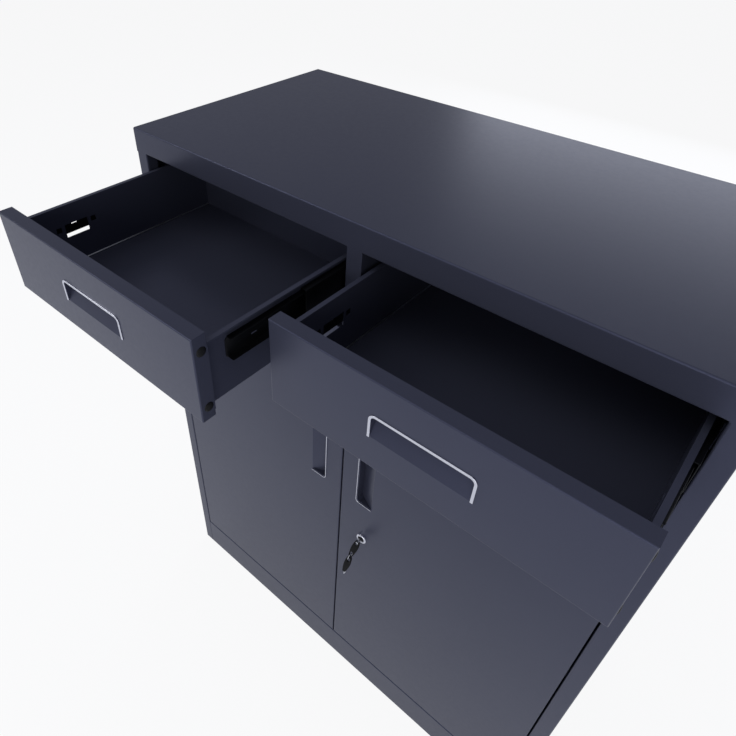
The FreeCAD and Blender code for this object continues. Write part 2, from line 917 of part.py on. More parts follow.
def key_bar(section, start):
    """A flat bar in the keyway's place, from a start ahead of the plug down to the depth of the keyway."""
    x, z = (side / 2 for side in section)
    return box(lock_x - x, lock_x + x, start, plug_face + key_depth, lock_z - z, lock_z + z)


def lock_plug():
    """Turning plug with its keyway, and a square end for the cam."""
    plug = cylinder(lock_plug_radius, (lock_x, plug_face, lock_z), lock_axis, plug_end - plug_face)
    square = lock_tail_square / 2
    tail = box(lock_x - square, lock_x + square, plug_end, cam_end, lock_z - square, lock_z + square)
    return fuse([plug, tail]).cut(key_bar(key_slot, plug_face - 1))


def lock_cam():
    """Flat cam with cut corners, pointing up while unlocked."""
    side = cam_width / 2
    edge = [
        (side - cam_corner, -side),
        (side, cam_corner - side),
        (side, cam_reach - cam_corner),
        (side - cam_corner, cam_reach),
    ]
    outline = edge + [(-x, z) for x, z in reversed(edge)]
    arm = moved(prism(outline, "y", plug_end, cam_end), x=lock_x, z=lock_z)
    square = lock_tail_square / 2 + lock_tail_clearance
    hole = box(lock_x - square, lock_x + square, plug_end - 1, cam_end + 1, lock_z - square, lock_z + square)
    return arm.cut(hole)


def cam_screw():
    """Hexagon head of the screw that holds the cam on the plug."""
    return lock_bar(6, cam_screw_across / 2, cam_end, cam_end + cam_screw_height)


# Keys
key_pivot = (lock_x, plug_face - key_pivot_out, lock_z)


def door_key():
    """Blade in the keyway, with a neck that ends in the eye of the folding bow."""
    shoulder = plug_face - key_shoulder
    half_neck = key_neck / 2
    half_blade = key_blade[1] / 2
    end = (lock_x - half_neck, key_pivot[1], lock_z)
    neck = box(end[0], lock_x + half_neck, end[1], shoulder, lock_z - half_blade, lock_z + half_blade)
    eye = cylinder(key_eye_radius, end, (1, 0, 0), key_neck)
    bore = cylinder(key_pin_radius + key_pin_clearance, end, (1, 0, 0), key_neck)
    return fuse([key_bar(key_blade, shoulder), neck, eye]).cut(bore)


def bow_plate(heel):
    """Moulded grip of a key, a long oval lying along -Y from a heel ahead of the origin."""
    step = bow_length / (len(bow_widths) - 1)
    edge = [(w / 2, heel - n * step) for n, w in enumerate(bow_widths)]
    outline = edge + [(-x, y) for x, y in reversed(edge)]
    return prism(outline, "z", -bow_thickness / 2, bow_thickness / 2)


def bow_hole(y):
    """The hole through a bow that the ring goes through."""
    return moved(prism(polygon(small_sides, bow_hole_radius), "z", -bow_thickness, bow_thickness), y=y)


def drooped(shape, angle):
    """A key piece swung down about X."""
    return turned(shape, (1, 0, 0), angle)


bow_hole_y = bow_heel - bow_length + bow_hole_inset


def key_bow():
    """Folding bow of the key in the lock: a slot and pin at its heel, a hole for the ring at its end."""
    slot = box(
        -bow_slot / 2, bow_slot / 2, bow_heel - bow_slot_depth, bow_heel + 1, -bow_thickness, bow_thickness
    )
    reach = bow_slot / 2 + bow_pin_wall
    pin = cylinder(key_pin_radius, (-reach, 0, 0), (1, 0, 0), 2 * reach)
    bow = fuse([bow_plate(bow_heel).cut(slot).cut(bow_hole(bow_hole_y)), pin])
    return moved(drooped(bow, bow_droop), *key_pivot)


def on_ring(shape):
    """A piece that hangs from the hole of the bow, drawn with that hole at the origin."""
    hole = drooped(Part.Vertex(0, bow_hole_y, 0), bow_droop).Point
    hung = drooped(shape, 90 - spare_tilt)
    return moved(hung, key_pivot[0] + hole.x, key_pivot[1] + hole.y, key_pivot[2] + hole.z)


def key_ring():
    """Small wire ring through the holes of both bows."""
    outer = prism(polygon(ring_sides, ring_radius + ring_wire), "x", -ring_wire, ring_wire)
    inner = prism(polygon(ring_sides, ring_radius - ring_wire), "x", -ring_wire, ring_wire)
    return on_ring(moved(outer.cut(inner), y=-ring_radius))


def spare_key():
    """Second key, folded shut: it hangs by its bow, and its blade lies flat on the back of the bow."""
    hole_y = -2 * ring_radius
    heel = hole_y + bow_hole_inset
    end = heel - bow_length
    side = spare_blade[0] / 2
    back = -bow_thickness / 2
    edge = [(side, end + spare_blade_cover), (side, end), (side / 2, end - spare_blade_tip)]
    outline = edge + [(-x, y) for x, y in reversed(edge)]
    blade = prism(outline, "z", back - spare_blade[1], back)
    return on_ring(fuse([bow_plate(heel).cut(bow_hole(hole_y)), blade]))


# Writing the pieces
def save(name, shapes):
    """One file for each named piece, or for a group of like pieces."""
    shapes = shapes if isinstance(shapes, list) else [shapes]
    for shape in shapes:
        if not shape.isValid() or len(shape.Solids) != 1:
            raise ValueError(name + " is not one sound solid")
    Part.makeCompound(shapes).exportStep(os.path.join("parts", name + ".step"))


def save_slide(drawer, opened, side, wall, sense, flip):
    """The three members of one slide, each pulled out by its share of the drawer's travel."""
    for member, share in ((outer_rail, 0), (middle_rail, 0.5), (inner_rail, 1)):
        shape = member(wall, sense)
        if flip:
            shape = mirrored(shape)
        save(drawer + "_" + side + "_" + member.__name__, moved(shape, y=-share * opened))


def save_cages(drawer, opened, flip):
    """The ball cages of both slides of a drawer, grouped by how far they travel."""
    cages = {"outer_ball_cages": (outer_cage, 0.25), "inner_ball_cages": (inner_cage, 0.75)}
    for name, (make, share) in cages.items():
        pieces = make(upright, 1) + make(opening, -1)
        if flip:
            pieces = [mirrored(p) for p in pieces]
        save(drawer + "_" + name, [moved(p, y=-share * opened) for p in pieces])


def save_drawer(drawer, opened, flip):
    """All pieces of one drawer, pulled out."""
    inner_side, outer_side = ("right", "left") if flip else ("left", "right")
    pieces = {
        "front": [drawer_front()],
        "tray": [drawer_tray()],
        inner_side + "_wall": [drawer_wall(wall_inner, 1)],
        outer_side + "_wall": [drawer_wall(wall_outer, -1)],
        "handle_trim": [on_drawer(grip_trim())],
        "plugs": drawer_plugs(),
    }
    for name, shapes in pieces.items():
        if flip:
            shapes = [mirrored(s) for s in shapes]
        save(drawer + "_" + name, [moved(s, y=-opened) for s in shapes])
    save_slide(drawer, opened, inner_side, upright, 1, flip)
    save_slide(drawer, opened, outer_side, opening, -1, flip)
    save_cages(drawer, opened, flip)


os.makedirs("parts", exist_ok=True)

save("right_side_panel", side_panel())
save("left_side_panel", mirrored(side_panel()))
save("top_panel", top_panel())
save("back_panel", back_panel())
save("base_panel", base_panel())
save("drawer_deck", drawer_deck())
save("door_stop", door_stop())
save("centre_partition", centre_partition())
save("slide_brackets", [slide_bracket(), mirrored(slide_bracket())])
save("shelf", shelf())
save("shelf_clips", shelf_clips())
save("door_pivots", door_pivots())

save_drawer("left_drawer", left_open, True)
save_drawer("right_drawer", right_open, False)

save("right_door_skin", door_skin().cut(lock_hole()))
save("left_door_skin", mirrored(door_skin()))
save("right_door_stiffener", door_stiffener())
save("left_door_stiffener", mirrored(door_stiffener()))
save("right_door_handle_trim", on_door(grip_trim()))
save("left_door_handle_trim", mirrored(on_door(grip_trim())))
save("right_door_bushes", door_bushes())
save("left_door_bushes", [mirrored(b) for b in door_bushes()])
save("bolt_guide", mirrored(bolt_guide()))
save("door_bolt", mirrored(door_bolt()))

save("lock_barrel", lock_barrel())
save("lock_nut", lock_nut())
save("lock_plug", lock_plug())
save("lock_cam", lock_cam())
save("cam_screw", cam_screw())
save("door_key", door_key())
save("key_bow", key_bow())
save("key_ring", key_ring())
save("spare_key", spare_key())
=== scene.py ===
"""Looks for a steel storage cabinet: two drawers side by side above a two-door cupboard.

Laid out as an add-on and run as a script. Its operators dress the packed frame piece by piece.
Metres throughout: X runs to the right, the front faces -Y and +Z is up.
"""
import json
import math

import bmesh
import bpy
from mathutils import Matrix, Vector


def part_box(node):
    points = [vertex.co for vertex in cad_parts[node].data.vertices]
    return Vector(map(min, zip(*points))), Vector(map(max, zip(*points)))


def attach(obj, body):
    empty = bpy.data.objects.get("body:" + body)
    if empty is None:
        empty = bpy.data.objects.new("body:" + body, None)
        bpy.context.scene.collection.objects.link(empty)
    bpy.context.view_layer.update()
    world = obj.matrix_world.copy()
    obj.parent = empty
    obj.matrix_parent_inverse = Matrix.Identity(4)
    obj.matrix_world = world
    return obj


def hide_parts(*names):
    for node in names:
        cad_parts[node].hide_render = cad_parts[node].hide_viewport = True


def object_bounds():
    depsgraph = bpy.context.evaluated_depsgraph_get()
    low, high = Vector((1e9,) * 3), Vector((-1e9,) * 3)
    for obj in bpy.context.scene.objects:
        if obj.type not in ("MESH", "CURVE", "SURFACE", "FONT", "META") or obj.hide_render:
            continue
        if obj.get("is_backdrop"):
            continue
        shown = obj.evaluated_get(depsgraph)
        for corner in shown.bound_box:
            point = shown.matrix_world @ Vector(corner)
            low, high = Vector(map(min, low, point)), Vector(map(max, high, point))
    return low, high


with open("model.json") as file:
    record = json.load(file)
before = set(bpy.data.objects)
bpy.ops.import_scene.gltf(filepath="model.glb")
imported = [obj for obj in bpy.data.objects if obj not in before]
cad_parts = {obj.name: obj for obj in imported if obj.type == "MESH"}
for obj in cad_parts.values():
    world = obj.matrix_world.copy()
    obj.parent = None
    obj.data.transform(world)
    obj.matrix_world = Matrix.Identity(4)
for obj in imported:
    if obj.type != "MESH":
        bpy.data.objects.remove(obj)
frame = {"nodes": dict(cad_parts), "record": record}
cad_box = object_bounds()

bl_info = {
    "name": "Steel storage cabinet",
    "version": (1, 0, 0),
    "blender": (4, 5, 0),
    "location": "3D View > Sidebar > Cabinet",
    "description": "Dresses a packed steel cabinet with its coat, trims, slides, lock and keys",
    "category": "Object",
}

MM = 0.001
sheet = 0.8 * MM
running_clearance = 0.05 * MM
# Edges of a strip's rounded section are softer than this many degrees
strip_angle = 50
record = frame["record"]
home = {node: body for body, nodes in record["behaviour"]["bodies"].items() for node in nodes}
slot_of = {part["node"]: part["material_slot"] for part in record["subparts"]}
drawers = ("left_drawer", "right_drawer")
doors = ("left_door", "right_door")


def linear(hex_colour):
    """Linear red, green and blue from an sRGB hex value."""
    channels = [int(hex_colour[n:n + 2], 16) / 255 for n in (1, 3, 5)]
    return tuple(c / 12.92 if c <= 0.04045 else ((c + 0.055) / 1.055) ** 2.4 for c in channels)


def per_metre(millimetres):
    """A texture's scale, from the size of its pattern."""
    return 1 / (millimetres * MM)


def length(name, description, millimetres):
    """A length that a user may change."""
    return bpy.props.FloatProperty(
        name=name, description=description, default=millimetres * MM, min=0, precision=5, unit="LENGTH"
    )


def share(name, description, default):
    """A value between nothing and all."""
    return bpy.props.FloatProperty(
        name=name, description=description, default=default, min=0, max=1, subtype="FACTOR"
    )


def colour(name, description, hex_colour):
    """A colour that a user may change."""
    return bpy.props.FloatVectorProperty(
        name=name, description=description, default=linear(hex_colour), min=0, max=1, subtype="COLOR"
    )


def power(name, description, watts):
    """The output of a lamp."""
    return bpy.props.FloatProperty(name=name, description=description, default=watts, min=0, unit="POWER")


class CabinetFinish(bpy.types.PropertyGroup):
    """Colours and gloss of the cabinet's materials."""

    coat: colour("Coat", "Blue-grey of the powder coat", "#30323e")
    coat_light: colour("Coat, light specks", "Lighter grains in the powder coat", "#363845")
    coat_sheen: colour("Coat sheen", "Tint of the light that the coat mirrors", "#c4ccff")
    coat_gloss: share("Coat roughness", "How far the coat blurs what it mirrors", 0.32)
    bright: colour("Chrome", "Tint of the chromed trims and lock", "#dcdde6")
    slide: colour("Slide plating", "Black zinc on the drawer slides", "#101114")
    zinc: colour("Zinc plating", "Clear zinc on the hidden hardware", "#bfc1c6")
    ball: colour("Bearing steel", "Balls and their cages", "#b9bbc2")
    plastic: colour("Black plastic", "Plugs and key bows", "#08080a")
    nylon: colour("Nylon", "Bushes of the door pivots", "#101012")


class CabinetSizes(bpy.types.PropertyGroup):
    """Sizes of the dressed pieces that the frame doesn't give."""

    trim_width: length("Trim width", "Width of the bright strip round a finger recess", 2.9)
    trim_seat: length("Trim seat", "From the strip's inner edge to the side of its seat", 2.5)
    trim_corner: length("Trim corner", "Bend of the strip at its middle line", 6.25)
    trim_edge: length("Trim edge", "Rounding of the strip's section", 0.35)
    plug_head: length("Plug head", "Radius of a hole plug's head", 5.8)
    plug_rise: length("Plug rise", "Height of a hole plug's dome", 1.6)
    plug_stem: length("Plug stem", "Radius of a hole plug's stem", 2.6)
    plug_length: length("Plug length", "Length of a hole plug's stem", 4.0)
    ball_radius: length("Ball radius", "Radius of a bearing ball", 1.4)
    rolled_edge: length("Rolled edge", "Rounding of the slide members' bends", 0.45)
    cage_edge: length("Cage edge", "Rounding of the thin ball cages' bends", 0.2)
    broken_edge: length("Broken edge", "Rounding of the small steel pieces", 0.25)
    lock_rim: length("Lock rim", "Rounding of the lock's chromed head", 1.6)
    lock_land: length("Lock land", "Width of the raised ring on the lock's face", 1.6)
    lock_dish: length("Lock dish", "Depth of the lock's face inside that ring", 0.5)
    bow_edge: length("Bow edge", "Rounding of the moulded key bows", 0.9)
    bow_thickness: length("Bow thickness", "Thickness of the moulded key bows", 4.0)
    bow_fork: length("Bow fork", "Half the width of the fork that the key's neck folds in", 2.4)
    bow_heel: length("Bow heel", "How far from the ring the fork begins", 10)
    bow_waist: share("Bow waist", "Width of a moulded bow, as a share of its solid", 0.78)
    bitting: length("Bitting", "Depth of the cuts in a key's blade", 1.1)
    fascia_bend: length(
        "Fascia bend", "Outer radius of the fascia's lower bend, filled above the uprights", 2.0
    )
    bare_edge: length("Bare edge", "Width of the sheared edge along a tray's floor", 2.2)


class CabinetStage(bpy.types.PropertyGroup):
    """Floor, light and camera."""

    floor: colour("Floor", "Pale, faintly cool studio floor", "#eff2fb")
    floor_side: length("Floor side", "Side of the square floor", 60000)
    floor_glow: share("Floor glow", "How much of the floor's white is its own, to the camera", 0.9)
    floor_mirror: share(
        "Floor in gloss", "How much of the floor's white is its own, in gloss and glass", 0.4
    )
    sky: colour("Studio", "Dim walls of the studio", "#8f919b")
    front: power("Front lamp", "Large soft lamp low in front", 80)
    overhead: power("Overhead lamp", "Large soft lamp above the front", 28)
    side: power(
        "Side lamp", "Small soft lamp high on the left, which draws the bend of the top's front", 12
    )
    rear: power("Rear lamp", "Wide soft lamp behind, which glows in the top", 66)
    rear_tint: colour("Rear lamp tint", "Cool daylight of the rear lamp", "#f0f4ff")
    focal: bpy.props.FloatProperty(
        name="Focal length", description="In pixels of the square picture", default=608.69
    )
    centre: bpy.props.FloatVectorProperty(
        name="Optical centre", description="In pixels of the picture", default=(322.54, 334.62), size=2
    )
    place: bpy.props.FloatVectorProperty(
        name="Camera place", description="Where the camera stands", default=(0.350745, -0.655124, 1.316229),
        subtype="TRANSLATION", unit="LENGTH",
    )
    yaw: bpy.props.FloatProperty(
        name="Yaw", description="Turn to the left", default=math.radians(40.616), subtype="ANGLE"
    )
    pitch: bpy.props.FloatProperty(
        name="Pitch", description="Tilt downwards", default=math.radians(39.161), subtype="ANGLE"
    )
    roll: bpy.props.FloatProperty(
        name="Roll", description="Lean of the camera", default=math.radians(-1.168), subtype="ANGLE"
    )


picture_side = 736
sensor_side = 36.0
plain_light = (1, 1, 1)
# Each lamp's two sides, its place and the point that it faces
lamps = {
    "front": ((4.0, 2.5), (1.8, -4.0, 1.6), (0.2, 0, 0.5)),
    "overhead": ((3.2, 3.2), (-0.8, -1.6, 3.6), (0, 0, 0.6)),
    "side": ((1.0, 1.0), (-2.2, -1.4, 2.7), (-0.2, -0.2, 1)),
    "rear": ((4.8, 2.1), (0.65, 3.4, 1.35), (0.65, 0, 1.35)),
}
# Most of a noise texture's values lie between these
noise_span = {"From Min": 0.3, "From Max": 0.7}


def add(tree, kind, inputs=None, **settings):
    """A node with its settings; each input is a value, or the socket to link to it."""
    node = tree.nodes.new(kind)
    for name, value in settings.items():
        setattr(node, name, value)
    for name, value in (inputs or {}).items():
        if isinstance(value, bpy.types.NodeSocket):
            tree.links.new(value, node.inputs[name])
        else:
            node.inputs[name].default_value = value
    return node


def new_material(name):
    """An empty material and its tree."""
    material = bpy.data.materials.new(name)
    material.use_nodes = True
    material.node_tree.nodes.clear()
    return material, material.node_tree


def powder_coat(finish):
    """Polyester powder, sprayed on folded steel and baked."""
    # Baked powder flows into a satin film: a blurred sheen, a faint orange peel and a fine grain of tone.
    # The grain is about half a millimetre, drawn three times as coarse so that it shows
    grain_size, peel_size, drift_size = 1.5, 6, 180
    least_light = 0.2
    gloss_swing = 0.02
    material, tree = new_material("powder_coated_steel")
    place = add(tree, "ShaderNodeTexCoord").outputs["Object"]
    grain = add(tree, "ShaderNodeTexNoise", {"Vector": place, "Scale": per_metre(grain_size), "Detail": 3.0})
    peel = add(tree, "ShaderNodeTexNoise", {"Vector": place, "Scale": per_metre(peel_size), "Detail": 1.0})
    drift = add(tree, "ShaderNodeTexNoise", {"Vector": place, "Scale": per_metre(drift_size), "Detail": 2.0})
    tone = add(tree, "ShaderNodeMath", {
        0: grain.outputs["Fac"], 1: drift.outputs["Fac"], 2: least_light,
    }, operation="MULTIPLY_ADD")
    film = add(
        tree, "ShaderNodeMix", {0: tone.outputs[0], 6: (*finish.coat, 1), 7: (*finish.coat_light, 1)},
        data_type="RGBA",
    )
    gloss = add(tree, "ShaderNodeMapRange", {
        "Value": peel.outputs["Fac"], **noise_span,
        "To Min": finish.coat_gloss - gloss_swing, "To Max": finish.coat_gloss + gloss_swing,
    })
    waves = add(tree, "ShaderNodeBump", {
        "Height": peel.outputs["Fac"], "Strength": 0.1, "Distance": 0.15 * MM,
    })
    grit = add(tree, "ShaderNodeBump", {
        "Height": grain.outputs["Fac"], "Strength": 0.08, "Distance": 0.05 * MM,
        "Normal": waves.outputs["Normal"],
    })
    # The matting grit scatters part of the sheen, so the index is below the resin's own 1.5
    shader = add(tree, "ShaderNodeBsdfPrincipled", {
        "Base Color": film.outputs[2], "Roughness": gloss.outputs["Result"], "IOR": 1.46,
        "Specular Tint": (*finish.coat_sheen, 1), "Normal": grit.outputs["Normal"],
    })
    add(tree, "ShaderNodeOutputMaterial", {"Surface": shader.outputs[0]})
    return material


def plated(name, tint, blur, patch):
    """A plated metal, with its tint, the range of its blur and the size of its cloudy patches."""
    material, tree = new_material(name)
    place = add(tree, "ShaderNodeTexCoord").outputs["Object"]
    cloud = add(tree, "ShaderNodeTexNoise", {"Vector": place, "Scale": per_metre(patch), "Detail": 3.0})
    cloud_tone = 0.86
    dull = tuple(c * cloud_tone for c in tint)
    film = add(
        tree, "ShaderNodeMix", {0: cloud.outputs["Fac"], 6: (*dull, 1), 7: (*tint, 1)}, data_type="RGBA"
    )
    gloss = add(tree, "ShaderNodeMapRange", {
        "Value": cloud.outputs["Fac"], **noise_span, "To Min": blur[0], "To Max": blur[1],
    })
    bump = add(tree, "ShaderNodeBump", {
        "Height": cloud.outputs["Fac"], "Strength": 0.05, "Distance": 0.02 * MM,
    })
    shader = add(tree, "ShaderNodeBsdfPrincipled", {
        "Base Color": film.outputs[2], "Metallic": 1.0, "Roughness": gloss.outputs["Result"],
        "Normal": bump.outputs["Normal"],
    })
    add(tree, "ShaderNodeOutputMaterial", {"Surface": shader.outputs[0]})
    return material


def chrome_plate(finish):
    """Bright chrome on the trims and the zinc die-cast lock."""
    # Polished before it is plated, so it is near a mirror, with the slightest haze
    return plated("bright_chrome_plate", finish.bright, (0.1, 0.18), 4)


def clear_zinc(finish):
    """Zinc plated steel of the small hardware."""
    # Barrel plated and passivated: dull silver with cloudy patches
    return plated("clear_zinc_plate", finish.zinc, (0.28, 0.42), 3)


def bearing_steel(finish):
    """Hardened steel of the balls and the bright strip of their cages."""
    # Tumbled bright, so it has small sharp lights
    return plated("bearing_steel", finish.ball, (0.16, 0.26), 2)


def black_zinc(finish):
    """Black zinc on the rolled slide members."""
    # Rolling leaves long fine lines, which draw a soft dark metal sheen out along the slide.
    # The lines are hair fine, drawn at a millimetre so that they show
    line_size = 1
    line_stretch = (1, 0.03, 1)
    rubbed_tone = 1.6
    material, tree = new_material("black_zinc_plate")
    place = add(tree, "ShaderNodeTexCoord").outputs["Object"]
    drawn = add(tree, "ShaderNodeMapping", {"Vector": place, "Scale": line_stretch})
    lines = add(tree, "ShaderNodeTexNoise", {
        "Vector": drawn.outputs[0], "Scale": per_metre(line_size), "Detail": 2.0,
    })
    worn = tuple(c * rubbed_tone for c in finish.slide)
    film = add(tree, "ShaderNodeMix", {
        0: lines.outputs["Fac"], 6: (*finish.slide, 1), 7: (*worn, 1),
    }, data_type="RGBA")
    gloss = add(tree, "ShaderNodeMapRange", {
        "Value": lines.outputs["Fac"], **noise_span, "To Min": 0.42, "To Max": 0.54,
    })
    bump = add(tree, "ShaderNodeBump", {
        "Height": lines.outputs["Fac"], "Strength": 0.1, "Distance": 0.02 * MM,
    })
    shader = add(tree, "ShaderNodeBsdfPrincipled", {
        "Base Color": film.outputs[2], "Metallic": 0.85, "Roughness": gloss.outputs["Result"],
        "Normal": bump.outputs["Normal"],
    })
    add(tree, "ShaderNodeOutputMaterial", {"Surface": shader.outputs[0]})
    return material


def moulded(name, tone, blur, ior):
    """Moulded plastic, with its tone, the range of its blur and its index."""
    # Spark erosion leaves a fine grain in the mould, of a few hundredths, drawn at half a millimetre
    # so that it shows. Its tops are a quarter lighter, and never quite black
    grain_size = 0.5
    top_tone, least_tone = 1.25, 0.001
    material, tree = new_material(name)
    place = add(tree, "ShaderNodeTexCoord").outputs["Object"]
    grain = add(tree, "ShaderNodeTexNoise", {"Vector": place, "Scale": per_metre(grain_size), "Detail": 2.0})
    pale = tuple(min(1, c * top_tone + least_tone) for c in tone)
    skin = add(
        tree, "ShaderNodeMix", {0: grain.outputs["Fac"], 6: (*tone, 1), 7: (*pale, 1)}, data_type="RGBA"
    )
    gloss = add(tree, "ShaderNodeMapRange", {
        "Value": grain.outputs["Fac"], **noise_span, "To Min": blur[0], "To Max": blur[1],
    })
    bump = add(tree, "ShaderNodeBump", {
        "Height": grain.outputs["Fac"], "Strength": 0.25, "Distance": 0.04 * MM,
    })
    shader = add(tree, "ShaderNodeBsdfPrincipled", {
        "Base Color": skin.outputs[2], "Roughness": gloss.outputs["Result"], "IOR": ior,
        "Normal": bump.outputs["Normal"],
    })
    add(tree, "ShaderNodeOutputMaterial", {"Surface": shader.outputs[0]})
    return material


def black_abs(finish):
    """Black ABS of the hole plugs and key bows."""
    # Its grain swallows most of the light, so it stays near black, with a dull gloss
    return moulded("black_abs", finish.plastic, (0.5, 0.62), 1.3)


def black_nylon(finish):
    """Black nylon of the pivot bushes."""
    # Waxy, so a soft gloss lies on the black
    return moulded("black_nylon", finish.nylon, (0.4, 0.55), 1.53)


makers = {
    "steel": powder_coat,
    "chrome": chrome_plate,
    "zinc": clear_zinc,
    "balls": bearing_steel,
    "slide": black_zinc,
    "black_plastic": black_abs,
    "nylon": black_nylon,
}
made = {}


def finish_for(slot):
    """The material of one of the record's slots, made once."""
    if slot not in made:
        made[slot] = makers[slot](bpy.context.scene.cabinet_finish)
    return made[slot]


def set_piece(name, mesh, slot, body, *nodes):
    """A finished piece that rides on its body and takes the place of CAD nodes."""
    mesh.name = name
    mesh.materials.clear()
    mesh.materials.append(finish_for(slot))
    piece = bpy.data.objects.new(name, mesh)
    bpy.context.scene.collection.objects.link(piece)
    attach(piece, body)
    if nodes:
        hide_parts(*nodes)
    return piece


def smooth(mesh, angle=35):
    """Soft shading, but for edges sharper than an angle in degrees."""
    mesh.shade_smooth()
    mesh.set_sharp_from_angle(angle=math.radians(angle))
    return mesh


def evaluated(carrier):
    """The plain mesh that an object's modifiers make; the object goes."""
    bpy.context.view_layer.update()
    shown = carrier.evaluated_get(bpy.context.evaluated_depsgraph_get())
    mesh = bpy.data.meshes.new_from_object(shown)
    bpy.data.objects.remove(carrier)
    return mesh


def merged(node):
    """A clean copy of a CAD node's mesh: its triangles joined, and flat faces made whole."""
    form = bmesh.new()
    form.from_mesh(frame["nodes"][node].data)
    bmesh.ops.remove_doubles(form, verts=form.verts, dist=0.001 * MM)
    bmesh.ops.dissolve_limit(form, angle_limit=math.radians(0.5), verts=form.verts, edges=form.edges)
    return form


def softened(form, edge):
    """A mesh with its edges rounded."""
    mesh = bpy.data.meshes.new("softened")
    form.to_mesh(mesh)
    form.free()
    mesh.shade_smooth()
    carrier = bpy.data.objects.new("softened", mesh)
    bpy.context.scene.collection.objects.link(carrier)
    bevel = carrier.modifiers.new("Rounded edges", "BEVEL")
    bevel.width = edge
    bevel.segments = 2
    bevel.limit_method = "ANGLE"
    bevel.angle_limit = math.radians(40)
    bevel.harden_normals = True
    return evaluated(carrier)


def soften_node(node, edge):
    """A piece like a CAD node, with rounded edges, in its place."""
    return set_piece(node + "_finished", softened(merged(node), edge), slot_of[node], home[node], node)


def shape_tree(name, *sizes):
    """An empty Geometry Nodes tree with named lengths, and the node that brings them in."""
    tree = bpy.data.node_groups.new(name, "GeometryNodeTree")
    tree.interface.new_socket("Geometry", in_out="INPUT", socket_type="NodeSocketGeometry")
    for size in sizes:
        socket = tree.interface.new_socket(size, in_out="INPUT", socket_type="NodeSocketFloat")
        socket.subtype = "DISTANCE"
    tree.interface.new_socket("Finish", in_out="INPUT", socket_type="NodeSocketMaterial")
    tree.interface.new_socket("Geometry", in_out="OUTPUT", socket_type="NodeSocketGeometry")
    return tree, add(tree, "NodeGroupInput").outputs


def close_tree(tree, given, geometry):
    """The end of a shape's tree: plain geometry with its finish."""
    real = add(tree, "GeometryNodeRealizeInstances", {"Geometry": geometry})
    dressed = add(tree, "GeometryNodeSetMaterial", {
        "Geometry": real.outputs[0], "Material": given["Finish"],
    })
    add(tree, "NodeGroupOutput", {"Geometry": dressed.outputs[0]})


def grown(tree, points, edges, **values):
    """The plain mesh that a tree makes on points and edges, with its named inputs."""
    mesh = bpy.data.meshes.new(tree.name)
    mesh.from_pydata(points, edges, [])
    carrier = bpy.data.objects.new(tree.name, mesh)
    bpy.context.scene.collection.objects.link(carrier)
    modifier = carrier.modifiers.new(tree.name, "NODES")
    modifier.node_group = tree
    for item in tree.interface.items_tree:
        if item.in_out == "INPUT" and item.name in values:
            modifier[item.identifier] = values[item.name]
    return evaluated(carrier)


def trim_tree():
    """A strip with rounded edges, bent along a path."""
    tree, given = shape_tree("Bright strip", "Width", "Rise", "Corner", "Edge")
    path = add(tree, "GeometryNodeMeshToCurve", {"Mesh": given["Geometry"]})
    bent = add(tree, "GeometryNodeFilletCurve", {
        "Curve": path.outputs[0], "Count": 12, "Radius": given["Corner"], "Limit Radius": True,
    }, mode="POLY")
    section = add(tree, "GeometryNodeCurvePrimitiveQuadrilateral", {
        "Width": given["Width"], "Height": given["Rise"],
    })
    eased = add(tree, "GeometryNodeFilletCurve", {
        "Curve": section.outputs[0], "Count": 4, "Radius": given["Edge"], "Limit Radius": True,
    }, mode="POLY")
    strip = add(tree, "GeometryNodeCurveToMesh", {
        "Curve": bent.outputs[0], "Profile Curve": eased.outputs[0], "Fill Caps": True,
    })
    close_tree(tree, given, strip.outputs[0])
    return tree


def plug_tree():
    """Domed plugs on points, their stems inwards along X."""
    tree, given = shape_tree("Hole plugs", "Head", "Rise", "Stem", "Length")
    ball = add(tree, "GeometryNodeMeshUVSphere", {"Segments": 24, "Rings": 12, "Radius": given["Head"]})
    flat = add(tree, "ShaderNodeMath", {0: given["Rise"], 1: given["Head"]}, operation="DIVIDE")
    squash = add(tree, "ShaderNodeCombineXYZ", {"X": flat.outputs[0], "Y": 1.0, "Z": 1.0})
    dome = add(tree, "GeometryNodeTransform", {"Geometry": ball.outputs[0], "Scale": squash.outputs[0]})
    bar = add(tree, "GeometryNodeMeshCylinder", {
        "Vertices": 16, "Radius": given["Stem"], "Depth": given["Length"],
    })
    middle = add(tree, "ShaderNodeMath", {0: given["Length"], 1: 0.5}, operation="MULTIPLY")
    inward = add(tree, "ShaderNodeCombineXYZ", {"X": middle.outputs[0]})
    stem = add(tree, "GeometryNodeTransform", {
        "Geometry": bar.outputs[0], "Translation": inward.outputs[0], "Rotation": (0, math.pi / 2, 0),
    })
    plug = add(tree, "GeometryNodeJoinGeometry")
    tree.links.new(dome.outputs[0], plug.inputs[0])
    tree.links.new(stem.outputs[0], plug.inputs[0])
    place = add(tree, "GeometryNodeInputPosition")
    places = add(tree, "GeometryNodeAttributeStatistic", {
        "Geometry": given["Geometry"], "Attribute": place.outputs[0],
    }, data_type="FLOAT_VECTOR")
    towards = add(tree, "ShaderNodeVectorMath", {
        0: places.outputs["Mean"], 1: place.outputs[0],
    }, operation="SUBTRACT")
    level = add(tree, "ShaderNodeVectorMath", {0: towards.outputs[0], 1: (1, 0, 0)}, operation="MULTIPLY")
    turn = add(tree, "FunctionNodeAlignRotationToVector", {"Vector": level.outputs[0]}, axis="X")
    plugs = add(tree, "GeometryNodeInstanceOnPoints", {
        "Points": given["Geometry"], "Instance": plug.outputs[0], "Rotation": turn.outputs[0],
    })
    close_tree(tree, given, plugs.outputs[0])
    return tree


